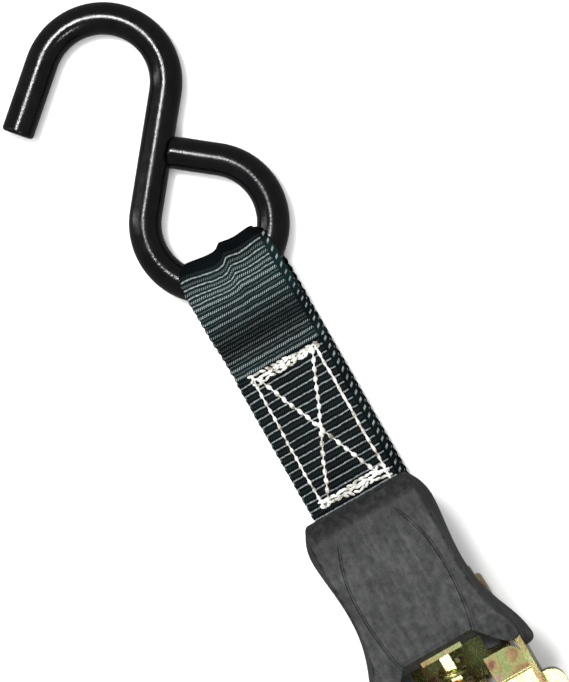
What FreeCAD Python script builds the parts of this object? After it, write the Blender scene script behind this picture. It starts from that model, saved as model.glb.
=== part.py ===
import FreeCAD
import Part
import math
import os

os.makedirs("parts", exist_ok=True)
V = FreeCAD.Vector

# Ratchet strap, fixed end: coated S-hook, short sewn webbing, ratchet with a rubber-covered handle.
# +X runs along the webbing from the hook to the drum, +Y across, +Z up; z = 0 is what it lies on.
# The origin is the centre of the base's flat underside. All sizes are in millimetres.

# ---- webbing ----
strap_w = 25.0            # webbing width
strap_t = 1.4             # thickness of one layer
stitch_r = 0.4            # half width of the stitched thread
stitch_h = 0.35           # how far the thread stands up from the webbing
stitch_y0 = -8.5          # long sides of the stitched box
stitch_y1 = 8.3

# ---- sheet metal stack across the drum, from the middle outwards ----
plate_t = 1.4             # base and handle plate thickness
side_clear = 0.3          # webbing edge to base side plate
wheel_gap = 0.2           # running gap on both sides of a ratchet wheel
wheel_t = 1.8             # ratchet wheel thickness
base_in = strap_w / 2 + side_clear
base_out = base_in + plate_t
wheel_in = base_out + wheel_gap
wheel_out = wheel_in + wheel_t
hand_in = wheel_out + wheel_gap
hand_out = hand_in + plate_t
washer_in = hand_out + 0.2
washer_out = washer_in + 0.8
drum_end = washer_out + 3.7

# ---- drum and ratchet wheels ----
drum_x = 20.0
drum_z = 17.0
drum_r = 6.0
drum_slot = 3.0           # gap between the two half bars that the webbing goes through
shaft_clear = 0.1         # radial running clearance of the drum in the plates
teeth = 12
wheel_r = 15.0
root_r = 12.2
pawl_t = 2.2              # thickness of both pawls
pawl_clear = 0.15         # pawl face to tooth face or slot wall

# ---- pawls (directions seen from -Y, counted from +X towards +Z) ----
drive_dir = 168.0
stop_dir = 198.0
drive_tip = 15.8          # tip radius as stored, lifted on the cam crest
stop_tip = 12.9           # tip radius in the tooth gap
drive_in = 2.9            # travel from the crest into a notch
drive_back = 2.0          # further travel when the finger pull is drawn
stop_lift = 3.6
crest_r = 15.4
ear_r = 12.6
lobe_r = 16.0

# ---- base ----
base_front = -37.0
base_tail = 22.0
floor_front = -22.0
pin_x = -30.0
pin_z = 8.0
pin_r = 3.2

# ---- handle and grip ----
grip_start = -64.0
plate_start = 4.5         # how far inside the grip's front end the handle plates begin
web_z = 29.5
web_t = 1.5
arm_in = base_in - 2.2    # inner face of the narrow part of the handle
grip_top = 33.2
grip_low = 17.2
groove_r = 0.4

# ---- hook ----
ring_x = -122.65          # middle of the eye's rod where the webbing holds it
bend_r = 15.3
eye_x = ring_x - bend_r
eye_y = 0.95
wire_r = 3.2
coat_r = 3.9
bight_dx = -41.9
bight_dy = -5.65
leg_len = 17.6
close_deg = 141.6
butt = 3.1                # how far the eye's cut end stays from the stem's middle line
weld_r = 1.9              # weld that joins the cut end to the stem

# ---- short strap stations ----
neck_x = -104.1           # where the webbing flexes
box_head = -100.4
box_foot = -66.3
lap_end = -64.4
spread_x = -60.0


def box(x0, x1, y0, y1, z0, z1):
    return Part.makeBox(x1 - x0, y1 - y0, z1 - z0, V(x0, y0, z0))


def cyl_y(x, z, r, y0, y1):
    return Part.makeCylinder(r, y1 - y0, V(x, y0, z), V(0, 1, 0))


def prism_xz(points, y0, y1):
    wire = Part.makePolygon([V(x, y0, z) for x, z in points + points[:1]])
    return Part.Face(wire).extrude(V(0, y1 - y0, 0))


def prism_xy(points, z0, z1):
    wire = Part.makePolygon([V(x, y, z0) for x, y in points + points[:1]])
    return Part.Face(wire).extrude(V(0, 0, z1 - z0))


def polar(direction, r):
    a = math.radians(direction)
    return drum_x + r * math.cos(a), drum_z + r * math.sin(a)


def radial_box(direction, r0, r1, half, y0, y1):
    # a block whose long side lies on a radius of the drum
    body = box(r0, r1, y0, y1, -half, half)
    body.rotate(V(0, 0, 0), V(0, 1, 0), -direction)
    body.translate(V(drum_x, 0, drum_z))
    return body


def ring_outline(stations, y):
    # closed outline about the drum: each station is (direction, radius), equal radii join by an arc
    edges = []
    count = len(stations)
    for k in range(count):
        a0, r0 = stations[k]
        a1, r1 = stations[(k + 1) % count]
        if k == count - 1:
            a1 += 360
        x0, z0 = polar(a0, r0)
        x1, z1 = polar(a1, r1)
        if r0 == r1:
            xm, zm = polar((a0 + a1) / 2, r0)
            edges.append(Part.Arc(V(x0, y, z0), V(xm, y, zm), V(x1, y, z1)).toShape())
        else:
            edges.append(Part.makeLine(V(x0, y, z0), V(x1, y, z1)))
    return Part.Wire(edges)


def ring_plate(stations, y0, y1):
    return Part.Face(ring_outline(stations, y0)).extrude(V(0, y1 - y0, 0))


def both_sides(make):
    return make(1), make(-1)


def span(side, a, b):
    return (a, b) if side > 0 else (-b, -a)


def merged(first, others):
    shape = first
    for other in others:
        shape = shape.fuse(other)
    return shape.removeSplitter()


def minus(shape, others):
    for other in others:
        shape = shape.cut(other)
    return shape


def rounded(shape, radius, pick):
    return shape.makeFillet(radius, [e for e in shape.Edges if pick(e)])


def save(name, shape):
    if shape.ShapeType != "Solid" and len(shape.Solids) == 1:
        shape = shape.Solids[0]
    shape.exportStep("parts/" + name + ".step")
    print(name, len(shape.Solids), "valid" if shape.isValid() else "INVALID", round(shape.Volume, 1))


# ------------------------------------------------------------------ base frame
def base_side(side):
    y0, y1 = span(side, base_in, base_out)
    ear = ring_plate(
        [(25, ear_r), (140, ear_r), (148, crest_r), (192, crest_r), (200, ear_r), (318, ear_r),
         (327, crest_r), (375, crest_r)], y0, y1)
    body = prism_xz(
        [(base_front + 3.0, 0.0), (base_tail, 0.0), (base_tail + 6.0, 4.0), (drum_x + 9.0, drum_z),
         (drum_x - 14.0, drum_z), (drum_x - 16.0, 16.0), (-15.0, 16.0), (pin_x, 13.6),
         (base_front + 2.2, 12.6), (base_front, 10.4), (base_front, 3.0)], y0, y1)
    plate = ear.fuse(body)
    bore = cyl_y(drum_x, drum_z, drum_r + shaft_clear, y0, y1)
    pin_hole = cyl_y(pin_x, pin_z, pin_r, y0, y1)
    half = pawl_t / 2 + pawl_clear
    notch = radial_box(drive_dir, ear_r + 0.1, crest_r + 3, half, y0, y1)
    far_notch = radial_box(drive_dir - 180, ear_r + 0.1, crest_r + 3, half, y0, y1)
    slot = radial_box(stop_dir, stop_tip - 0.4, stop_tip + 7.0 + stop_lift + 0.4, half, y0, y1)
    return minus(plate, [bore, pin_hole, notch, far_notch, slot])


def base_frame():
    sides = both_sides(base_side)
    floor = box(floor_front, base_tail, -base_in, base_in, 0, plate_t)
    seat_x, seat_z = polar(stop_dir, 33.0)
    seat = box(seat_x - 1.2, seat_x, -5.0, 5.0, plate_t - 0.4, seat_z + 3.2)
    slot = radial_box(stop_dir, 28.0, 40.0, pawl_t / 2 + 0.2, -1.6, 1.6)
    relief = [box(seat_x - 0.1, seat_x + 8.6, -7.0, 7.0, -1.0, plate_t + 1.0)]
    frame = merged(sides[0], [sides[1], minus(floor, relief), seat.cut(slot)])

    def lower_edge(e):
        b = e.BoundBox
        return b.ZMax < 0.01 and b.YLength < 0.01 and abs(abs(b.YMin) - base_out) < 0.01

    return rounded(frame, 0.8 * plate_t, lower_edge)


def strap_pin():
    shaft = cyl_y(pin_x, pin_z, pin_r, -base_out, base_out)
    heads = []
    for side in (1, -1):
        head = cyl_y(pin_x, pin_z, 4.8, *span(side, base_out, base_out + 1.6))
        outer = side * (base_out + 1.6)
        head = rounded(head, 1.0, lambda e: abs(e.BoundBox.YMin - outer) < 0.01
                           and e.BoundBox.YLength < 0.01)
        heads.append(head)
    return merged(shaft, heads)


# ------------------------------------------------------------------ pawls and their springs
def stop_pawl():
    half = pawl_t / 2
    wing = 5.6
    middle = radial_box(stop_dir, stop_tip + 5.0, stop_tip + 12.0, half, -base_in + 0.2, base_in - 0.2)
    bar = radial_box(stop_dir, stop_tip, stop_tip + wing, half, -hand_out - 0.4, hand_out + 0.4)
    relief = radial_box(stop_dir, stop_tip - 1, stop_tip + 5.0, half + 1, -base_in + 2.4, base_in - 2.4)
    tongue = radial_box(stop_dir, stop_tip + 11.0, 35.0, half, -1.4, 1.4)
    return merged(middle, [bar.cut(relief), tongue])


def coil(direction, r0, r1, radius, wire, turns):
    # open-coiled compression spring standing on a radius of the drum
    length = r1 - r0
    pitch = (length - 2 * wire) / turns
    helix = Part.makeHelix(pitch, length - 2 * wire, radius)
    start = V(radius, 0, 0)
    tangent = V(0, 2 * math.pi * radius, pitch)
    profile = Part.Wire([Part.makeCircle(wire, start, tangent)])
    body = Part.Wire(helix).makePipeShell([profile], True, True)
    body.translate(V(0, 0, wire))
    body.rotate(V(0, 0, 0), V(0, 1, 0), 90 - direction)
    x, z = polar(direction, r0)
    body.translate(V(x, 0, z))
    return body


def stop_pawl_spring():
    return coil(stop_dir, stop_tip + 12.1, 31.2, 2.5, 0.4, 4)


def drive_pawl():
    half = pawl_t / 2
    tip = drive_tip
    plate = radial_box(drive_dir, tip, tip + 15.7, half, -hand_in + 0.3, hand_in - 0.3)
    bend_x, bend_z = polar(drive_dir, tip + 15.5)
    flange = box(bend_x - 6.6, bend_x + 0.6, -hand_in + 0.3, hand_in - 0.3, bend_z - half, bend_z + half)
    corner = rounded(flange, 3.2, lambda e: e.BoundBox.ZLength > half and e.BoundBox.XMax < bend_x - 6)
    corner_bar = cyl_y(bend_x, bend_z, half, -hand_in + 0.3, hand_in - 0.3)
    mouth = radial_box(drive_dir, tip - 1, tip + 4.4, half + 1, -base_in + 1.6, base_in - 1.6)
    pocket = box(bend_x - 12.0, polar(drive_dir, tip + 11.5)[0], -7.4, 7.4, 10.0, 40.0)
    tabs = radial_box(drive_dir, tip + 3.0, tip + 13.0, half, -drum_end + 0.5, drum_end - 0.5)

    def tab_corner(e):
        b = e.BoundBox
        return b.YLength < 0.01 and abs(abs(b.YMin) - drum_end + 0.5) < 0.01 and e.Length < pawl_t + 0.1

    tabs = rounded(tabs, 3.5, tab_corner)
    tabs = tabs.cut(radial_box(drive_dir, tip + 2.0, tip + 14.0, half + 1, -10.0, 10.0))
    tongue = radial_box(drive_dir, tip + 11.0, 49.0, half, -1.2, 1.2)
    pull = radial_box(drive_dir, 48.6, 52.0, half, -7.0, 7.0)
    pull = rounded(pull, 1.6, lambda e: abs(e.BoundBox.YMin) > 6.9 and e.Length < pawl_t + 0.1)
    plate = merged(plate, [corner, corner_bar])
    return merged(minus(plate, [mouth, pocket]), [tabs, tongue, pull])


def drive_pawl_spring():
    return coil(drive_dir, drive_tip + 11.9, 42.0, 2.9, 0.65, 4.6)


# ------------------------------------------------------------------ drum
def half_bar(sign):
    bar = cyl_y(drum_x, drum_z, drum_r, -drum_end, drum_end)
    half = drum_slot / 2
    z0, z1 = (drum_z + half, drum_z + 20) if sign > 0 else (drum_z - 20, drum_z - half)
    bar = bar.common(box(drum_x - 20, drum_x + 20, -40, 40, z0, z1))
    for side in (1, -1):
        hole = Part.makeCylinder(1.0, 40, V(drum_x, side * (washer_out + 1.5), drum_z - 20))
        bar = bar.cut(hole)
    return bar


def ratchet_wheel(side):
    y0, y1 = span(side, wheel_in, wheel_out)
    half = pawl_t / 2 + pawl_clear
    step = 360.0 / teeth
    points = []
    for k in range(teeth):
        gap = drive_dir + k * step
        a = math.radians(gap)
        along = (math.cos(a), math.sin(a))
        across = (-math.sin(a), math.cos(a))

        def at(u, v):
            return (drum_x + u * along[0] + v * across[0], drum_z + u * along[1] + v * across[1])

        points.append(at(root_r, -half))
        points.append(at(root_r, half))
        points.append(at(math.sqrt(wheel_r ** 2 - half ** 2), half))
        points.append(polar(gap + math.degrees(math.asin(half / wheel_r)) + 4.0, wheel_r))
    disc = prism_xz(points, y0, y1)
    bore = cyl_y(drum_x, drum_z, drum_r, y0, y1)
    bar = box(drum_x - drum_r - 1, drum_x + drum_r + 1, y0, y1,
              drum_z - drum_slot / 2, drum_z + drum_slot / 2)
    return disc.cut(bore.cut(bar))


def washer(side):
    y0, y1 = span(side, washer_in, washer_out)
    disc = cyl_y(drum_x, drum_z, 9.6, y0, y1)
    return disc.cut(cyl_y(drum_x, drum_z, drum_r, y0, y1))


def cotter_pin(side):
    y = side * (washer_out + 1.5)
    shank = Part.makeCylinder(0.95, 2 * drum_r + 3.4, V(drum_x, y, drum_z - drum_r - 2.4))
    eye = Part.makeTorus(1.5, 0.75, V(drum_x, y, drum_z + drum_r + 2.1), V(0, 1, 0))
    return merged(shank, [eye])


# ------------------------------------------------------------------ handle
def plan_strip(side):
    # plan view of one handle plate: narrow inside the grip, stepping out to pass the wheels
    lo = arm_in
    hi = hand_in
    start, end = grip_start + plate_start, drum_x + lobe_r + 2
    step0, step1 = grip_start + 33.0, grip_start + 45.0
    inner = []
    outer = []
    rise = math.atan2(hi - lo, step1 - step0) * 1.5
    for k in range(13):
        f = k / 12
        ease = f * f * (3 - 2 * f)
        slope = 6 * f * (1 - f) * math.tan(rise) / 1.5
        n = math.hypot(1, slope)
        x = step0 + (step1 - step0) * f
        y = lo + (hi - lo) * ease
        inner.append((x, y))
        outer.append((x - plate_t * slope / n, y + plate_t / n))
    points = [(start, lo)] + inner + [(end, hi), (end, hi + plate_t)]
    points += outer[::-1] + [(start, lo + plate_t)]
    return prism_xy([(x, side * y) for x, y in points], 0, 40)


def arm_outline(side):
    y0, y1 = span(side, arm_in - 2, hand_out + 2)
    ear = ring_plate(
        [(45, ear_r), (335, ear_r), (368, lobe_r), (388, lobe_r)], y0, y1)
    arm = prism_xz(
        [(grip_start + plate_start, 20.5), (-26, 20.5), (-14, 16.4), (drum_x - 22, 15.6), (drum_x - 12.2, 15.6),
         (drum_x, drum_z), (drum_x + 2, drum_z + ear_r - 0.3), (drum_x - 7, 29.2), (-14, 30.6),
         (-24, 31.0), (grip_start + plate_start, 31.0)], y0, y1)
    return ear.fuse(arm)


def handle_side(side):
    plate = plan_strip(side).common(arm_outline(side))
    y0, y1 = span(side, arm_in - 2, hand_out + 2)
    bore = cyl_y(drum_x, drum_z, drum_r + shaft_clear, y0, y1)
    half = pawl_t / 2 + pawl_clear
    slot = radial_box(drive_dir, drive_tip - drive_in - 0.3, drive_tip + 13.0 + drive_back + 0.4,
                      half, y0, y1)
    window = radial_box(drive_dir, drive_tip + 4.0, drive_tip + 20.4 + drive_back, half + 0.3,
                        *span(side, arm_in - 2, hand_in))
    return minus(plate, [bore, slot, window])


def handle_frame():
    sides = both_sides(handle_side)
    web = box(grip_start + plate_start, grip_start + 37.0, -arm_in - 0.4, arm_in + 0.4, web_z, web_z + web_t)
    lip = box(grip_start + 36, grip_start + 41.4, -5.2, 5.2, web_z, web_z + web_t)
    tab_x = grip_start + 41.4
    tab = box(tab_x - 1.4, tab_x, -5.2, 5.2, 22.6, web_z + web_t)
    slot = radial_box(drive_dir, 38.0, 52.0, pawl_t / 2 + 0.25, -1.8, 1.8)
    drop = box(tab_x - 3, tab_x + 1, -1.8, 1.8, 20, 26.0)
    lip = merged(lip, [minus(tab, [slot, drop])])
    frame = merged(sides[0], [sides[1], web, lip])

    def bend(e):
        b = e.BoundBox
        return (b.YLength < 0.01 and b.ZLength < 0.01 and abs(b.ZMin - web_z - web_t) < 0.01
                and b.XLength > 20 and abs(b.YMin) > arm_in + 1)

    return rounded(frame, 0.8 * min(plate_t, web_t), bend)


def spline_outline(points, z):
    curve = Part.BSplineCurve()
    curve.interpolate([V(x, y, z) for x, y in points])
    return curve.toShape()


def grip_plan(z, widths, ends):
    # closed outline at one height: the long side from the front end to the wing tip, then its inner end;
    # stations are the distance from the front end and the distance outside the handle's narrow part
    right = [(grip_start + s, arm_in + w) for s, w in widths]
    back = [right[-1]] + [(grip_start + s, arm_in + w) for s, w in ends]
    mirror = [(x, -y) for x, y in right]
    mirror_back = [(x, -y) for x, y in back]
    return Part.Wire([
        spline_outline(right, z),
        spline_outline(back, z),
        Part.makeLine(V(back[-1][0], back[-1][1], z), V(back[-1][0], -back[-1][1], z)),
        spline_outline(mirror_back[::-1], z),
        spline_outline(mirror[::-1], z),
        Part.makeLine(V(right[0][0], -right[0][1], z), V(right[0][0], right[0][1], z)),
    ])


def groove(side):
    stations = [(6.0, -3.1, 0.30), (9.5, -1.8, 0.05), (14, -0.3, -0.08), (20, 0.6, -0.08), (27, 0.6, -0.08),
                (33, 0.0, -0.08), (37, -0.7, -0.08), (40.6, -1.7, -0.08)]
    curve = Part.BSplineCurve()
    curve.interpolate([V(grip_start + s, side * (arm_in + w), grip_top + up) for s, w, up in stations])
    path = curve.toShape()
    start = path.valueAt(path.FirstParameter)
    profile = Part.Wire([Part.makeCircle(groove_r, start, path.tangentAt(path.FirstParameter))])
    return Part.Wire(path).makePipeShell([profile], True, True)


def grip_profile():
    # side view: a round nose, a flat top and a slightly raised underside near the wings
    g = grip_start
    far = arm_in + 15
    nose = Part.BSplineCurve()
    points = [V(g, -far, 25.4), V(g + 0.6, -far, 29.0), V(g + 3.4, -far, 32.0), V(g + 9.0, -far, grip_top)]
    nose.interpolate(Points=points, InitialTangent=V(0, 0, 1), FinalTangent=V(1, 0, 0))
    corners = [(g + 9, grip_top), (g + 38, grip_top), (g + 42, grip_top - 0.6), (g + 50, grip_top - 3.0),
               (g + 50, grip_low + 2.4), (g + 37, grip_low + 2.4), (g + 30, grip_low), (g + 3.0, grip_low),
               (g + 0.6, grip_low + 1.4), (g, grip_low + 3.4), (g, 25.4)]
    edges = [nose.toShape()]
    for (x0, z0), (x1, z1) in zip(corners, corners[1:]):
        edges.append(Part.makeLine(V(x0, -far, z0), V(x1, -far, z1)))
    return Part.Face(Part.Wire(Part.__sortEdges__(edges))).extrude(V(0, 2 * far, 0))


def handle_grip(frame):
    top = grip_plan(
        grip_top,
        [(0, 2.3), (1.2, 2.8), (4, 3.3), (10, 3.5), (20, 3.5), (29, 3.6), (33, 4.0),
         (37, 5.1), (41, 6.6), (43.6, 7.1)],
        [(45.0, 6.0), (44.8, 4.0), (42.8, 1.6), (40.6, -0.2), (38.9, -1.6)])
    middle = grip_plan(
        24.0,
        [(0, 2.3), (1.6, 3.6), (6, 5.3), (11, 5.3), (20, 4.4), (29, 4.7), (33, 5.6),
         (37, 7.0), (41, 8.6), (46.0, 9.8)],
        [(48.4, 9.0), (48.6, 7.0), (45.6, 4.0), (44.8, 1.2), (44.4, -1.2)])
    lower = grip_plan(
        grip_low,
        [(0, 1.8), (1.6, 3.0), (6, 4.4), (11, 4.6), (20, 4.0), (29, 4.3), (33, 5.2),
         (37, 6.6), (41, 8.2), (45.6, 9.2)],
        [(47.8, 8.6), (48.0, 6.8), (47.0, 4.0), (46.8, 1.2), (46.4, -1.2)])
    body = Part.makeLoft([lower, middle, top], True, True).common(grip_profile())

    def top_edge(e):
        b = e.BoundBox
        return b.ZMin > grip_top - 0.9 and b.XLength > 6 and abs(b.YMin + b.YMax) > arm_in

    body = rounded(body, 0.8, top_edge)
    room = arm_in - 1.4
    wide = arm_in + 5.6
    hollow = box(grip_start + 4.0, grip_start + 60, -room, room, 0, 27.6)
    above_web = box(grip_start + 16, grip_start + 60, -room, room, 27.0, web_z)
    step_out = prism_xy(
        [(grip_start + 30, -room), (grip_start + 30, room), (grip_start + 37.5, arm_in + 1.6),
         (grip_start + 44, wide), (grip_start + 60, wide), (grip_start + 60, -wide),
         (grip_start + 44, -wide), (grip_start + 37.5, -arm_in - 1.6)], 21.0, web_z)
    low_gap = both_sides(lambda side: box(grip_start + 40, grip_start + 60,
                                          *span(side, base_in - 0.3, hand_in - 0.2), 0, 21.2))
    body = minus(body, [hollow, above_web, step_out, low_gap[0], low_gap[1], groove(1), groove(-1), frame])
    return max(body.Solids, key=lambda s: s.Volume)


# ------------------------------------------------------------------ hook
def hook_path(extra):
    # S-hook centreline: straight tip, bight, stem, eye; then the closing leg on to the stem
    bx, by = bight_dx, bight_dy
    dist = math.hypot(bx, by)
    base_dir = math.atan2(-by, -bx)
    lean = math.asin(2 * bend_r / dist)
    stem = base_dir - lean
    sx, sy = math.cos(stem), math.sin(stem)
    p_out = V(bx - bend_r * sy, by + bend_r * sx, 0)
    p_in = V(bend_r * sy, -bend_r * sx, 0)
    leg_dir = V(-0.66, 0.751, 0).normalize()
    a0 = math.atan2(leg_dir.x, -leg_dir.y)
    first = V(bx + bend_r * math.cos(a0), by + bend_r * math.sin(a0), 0)
    tip = first - leg_dir * (leg_len + extra)
    out_angle = math.atan2(p_out.y - by, p_out.x - bx)
    mid_a = (a0 % (2 * math.pi) + out_angle) / 2
    mid = V(bx + bend_r * math.cos(mid_a), by + bend_r * math.sin(mid_a), 0)
    in_angle = math.degrees(math.atan2(p_in.y, p_in.x)) % 360
    end_angle = close_deg + 360
    mid_e = math.radians((in_angle + end_angle) / 2)
    end_e = math.radians(end_angle)
    end = V(bend_r * math.cos(end_e), bend_r * math.sin(end_e), 0)
    close = V(-math.sin(end_e), math.cos(end_e), 0)
    reach = (p_out - end).dot(V(-sy, sx, 0)) / close.dot(V(-sy, sx, 0))
    edges = [
        Part.makeLine(tip, first),
        Part.Arc(first, mid, p_out).toShape(),
        Part.makeLine(p_out, p_in),
        Part.Arc(p_in, V(bend_r * math.cos(mid_e), bend_r * math.sin(mid_e), 0), end).toShape(),
    ]
    return edges, tip, leg_dir, end, close, reach


def hook_rod(radius, extra):
    edges, tip, leg_dir, end, close, reach = hook_path(extra)
    profile = Part.Wire([Part.makeCircle(radius, tip, leg_dir)])
    rod = Part.Wire(edges).makePipeShell([profile], True, False)
    # the cut end of the rod butts on the stem's side and leaves a crease round it
    length = reach - (butt if extra > 0 else butt + coat_r - wire_r)
    leg = Part.makeCylinder(radius, length, end, close)
    if extra == 0:
        leg = leg.fuse(Part.makeCylinder(weld_r, reach - wire_r + 0.6, end, close))
    else:
        face = end + close * length
        leg = rounded(leg, 0.7, lambda e: e.CenterOfMass.distanceToPoint(face) < 0.5)
    return rod, leg


def place_hook(shape):
    # the webbing lifts the eye by one layer, so the hook slopes down to its bight
    wire_x = bend_r
    wire_z = strap_t + 0.2 + coat_r
    far = bight_dx - bend_r
    tilt = math.degrees(math.asin((wire_z - coat_r) / (wire_x - far)))
    shape.translate(V(-wire_x, 0, 0))
    shape.rotate(V(0, 0, 0), V(0, 1, 0), -tilt)
    shape.translate(V(wire_x + eye_x, eye_y, wire_z))
    return shape


def hook_parts():
    rod, leg = hook_rod(wire_r, 0.0)
    core = merged(rod, [leg])
    skin_rod, skin_leg = hook_rod(coat_r, coat_r - wire_r)
    tip_edges = [e for e in skin_rod.Edges if e.Length < 2 * math.pi * coat_r + 0.1
                 and e.BoundBox.YMax < bight_dy - 15]
    skin = merged(skin_rod.makeFillet(0.8, tip_edges), [skin_leg])
    wire = place_hook(core.copy())
    coating = place_hook(skin.cut(core))
    return wire, coating


def eye_clearance():
    ring = Part.makeTorus(bend_r, coat_r + 0.12, V(0, 0, 0), V(0, 0, 1))
    return place_hook(ring)


# ------------------------------------------------------------------ short strap
def strap_hook_loop():
    half = strap_w / 2
    t = strap_t
    y0, y1 = -half, half
    wire_z = t + 0.2 + coat_r
    fold_x = ring_x - coat_r - 0.85
    crest = wire_z + coat_r + 0.2 + t
    fold_r = crest / 2
    end = neck_x - 1.6
    low = box(fold_x, end, y0, y1, 0, t)
    fold = cyl_y(fold_x, fold_r, fold_r, y0, y1).cut(cyl_y(fold_x, fold_r, fold_r - t, y0, y1))
    fold = fold.common(box(fold_x - 20, fold_x, y0, y1, -1, 30))
    high = prism_xz(
        [(fold_x, crest - t), (fold_x, crest), (ring_x + coat_r - 2.0, crest), (neck_x - 3.2, 2 * t),
         (end, 2 * t), (end, t), (neck_x - 3.8, t), (ring_x + coat_r - 2.6, crest - t)], y0, y1)
    loop = merged(low, [fold, high]).cut(eye_clearance())
    return max(loop.Solids, key=lambda s: s.Volume)


def tangent_strip(x0, z0, side, y0, y1):
    # one straight run of webbing from a point to the loop round the pin, on its upper or lower side
    r = pin_r + 0.1 + strap_t / 2
    dx, dz = pin_x - x0, pin_z - z0
    dist = math.hypot(dx, dz)
    base_dir = math.atan2(dz, dx)
    a = base_dir + side * math.asin(r / dist)
    length = math.sqrt(dist ** 2 - r ** 2)
    strip = box(0, length, y0, y1, -strap_t / 2, strap_t / 2)
    strip.rotate(V(0, 0, 0), V(0, 1, 0), -math.degrees(a))
    strip.translate(V(x0, 0, z0))
    return strip, a, length


def strap_sewn():
    half = strap_w / 2
    t = strap_t
    y0, y1 = -half, half
    low = box(neck_x + 1.6, spread_x, y0, y1, 0, t)
    middle = box(neck_x + 1.6, lap_end, y0, y1, t, 2 * t)
    top = box(box_head - 1.2, spread_x, y0, y1, 2 * t, 3 * t)
    nose = cyl_y(neck_x, t, t - 0.1, y0, y1)
    nose_bar = box(neck_x, neck_x + 1.7, y0, y1, 0.1, 2 * t - 0.1)
    r_in, r_out = pin_r + 0.1, pin_r + 0.1 + t
    upper, a_up, n_up = tangent_strip(spread_x, 2.5 * t, 1, y0, y1)
    lower, a_low, n_low = tangent_strip(spread_x, 0.5 * t, -1, y0, y1)
    ring = cyl_y(pin_x, pin_z, r_out, y0, y1).cut(cyl_y(pin_x, pin_z, r_in, y0, y1))
    ux = spread_x + n_up * math.cos(a_up)
    uz = 2.5 * t + n_up * math.sin(a_up)
    lx = spread_x + n_low * math.cos(a_low)
    lz = 0.5 * t + n_low * math.sin(a_low)
    far = 40.0
    keep = prism_xz(
        [(pin_x, pin_z), (pin_x + far * (lx - pin_x), pin_z + far * (lz - pin_z)),
         (pin_x + 200, pin_z - 200), (pin_x + 200, pin_z + 200),
         (pin_x + far * (ux - pin_x), pin_z + far * (uz - pin_z))], y0, y1)
    ring = ring.common(keep)
    corner_up = cyl_y(spread_x, 2.5 * t, t / 2, y0, y1)
    corner_low = cyl_y(spread_x, 0.5 * t, t / 2, y0, y1)
    return merged(low, [middle, top, nose, nose_bar, upper, lower, ring, corner_up, corner_low])


def thread_run(points, z):
    # one run of sewn thread lying on the top layer: flat bars with round corners between them
    pieces = []
    for k in range(len(points) - 1):
        x0, y0 = points[k]
        x1, y1 = points[k + 1]
        length = math.hypot(x1 - x0, y1 - y0)
        bar = box(0, length, -stitch_r, stitch_r, 0, stitch_h)
        bar.rotate(V(0, 0, 0), V(0, 0, 1), math.degrees(math.atan2(y1 - y0, x1 - x0)))
        bar.translate(V(x0, y0, z))
        pieces.append(bar)
    for x, y in points:
        pieces.append(Part.makeCylinder(stitch_r, stitch_h, V(x, y, z)))
    return pieces


def box_stitch():
    z = 3 * strap_t
    y0, y1 = stitch_y0, stitch_y1
    x0, x1 = box_head, box_foot
    pieces = thread_run([(x0, y0), (x1, y0), (x1, y1), (x0, y1), (x0, y0)], z)
    pieces += thread_run([(x0, y0), (x1, y1)], z)
    pieces += thread_run([(x0, y1), (x1, y0)], z)
    for base_x, way in ((x0, 1), (x1, -1)):
        count = 9
        step = (y1 - y0) / count
        zigzag = [(base_x + way * (1.7 if k % 2 else 0.0), y0 + k * step) for k in range(count + 1)]
        pieces += thread_run(zigzag, z)
    return merged(pieces[0], pieces[1:])


frame_of_handle = handle_frame()
hook_core, hook_skin = hook_parts()

save("hook_wire", hook_core)
save("hook_coating", hook_skin)
save("short_strap_hook_loop", strap_hook_loop())
save("short_strap_sewn", strap_sewn())
save("box_stitch", box_stitch())
save("base_frame", base_frame())
save("strap_pin", strap_pin())
save("stop_pawl", stop_pawl())
save("stop_pawl_spring", stop_pawl_spring())
save("handle_frame", frame_of_handle)
save("handle_grip", handle_grip(frame_of_handle))
save("drive_pawl", drive_pawl())
save("drive_pawl_spring", drive_pawl_spring())
save("drum_half_upper", half_bar(1))
save("drum_half_lower", half_bar(-1))
save("ratchet_wheel_left", ratchet_wheel(1))
save("ratchet_wheel_right", ratchet_wheel(-1))
save("washer_left", washer(1))
save("washer_right", washer(-1))
save("cotter_pin_left", cotter_pin(1))
save("cotter_pin_right", cotter_pin(-1))
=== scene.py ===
import math
import random

import bmesh
import bpy
from mathutils import Matrix, Vector


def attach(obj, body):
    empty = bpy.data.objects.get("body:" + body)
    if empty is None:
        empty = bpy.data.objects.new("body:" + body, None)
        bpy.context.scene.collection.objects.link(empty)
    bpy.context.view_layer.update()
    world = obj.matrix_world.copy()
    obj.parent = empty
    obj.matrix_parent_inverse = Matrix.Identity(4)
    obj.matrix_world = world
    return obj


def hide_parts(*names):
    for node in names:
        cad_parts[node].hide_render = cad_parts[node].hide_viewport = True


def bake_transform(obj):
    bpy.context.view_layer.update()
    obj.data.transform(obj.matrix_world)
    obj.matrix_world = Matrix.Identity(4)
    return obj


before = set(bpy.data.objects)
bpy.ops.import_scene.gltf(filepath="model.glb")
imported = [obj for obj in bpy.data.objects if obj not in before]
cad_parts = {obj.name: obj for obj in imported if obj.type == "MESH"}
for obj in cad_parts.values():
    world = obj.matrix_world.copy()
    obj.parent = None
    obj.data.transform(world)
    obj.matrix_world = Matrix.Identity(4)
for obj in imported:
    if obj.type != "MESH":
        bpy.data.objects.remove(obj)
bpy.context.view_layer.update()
MM = 0.001

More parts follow.
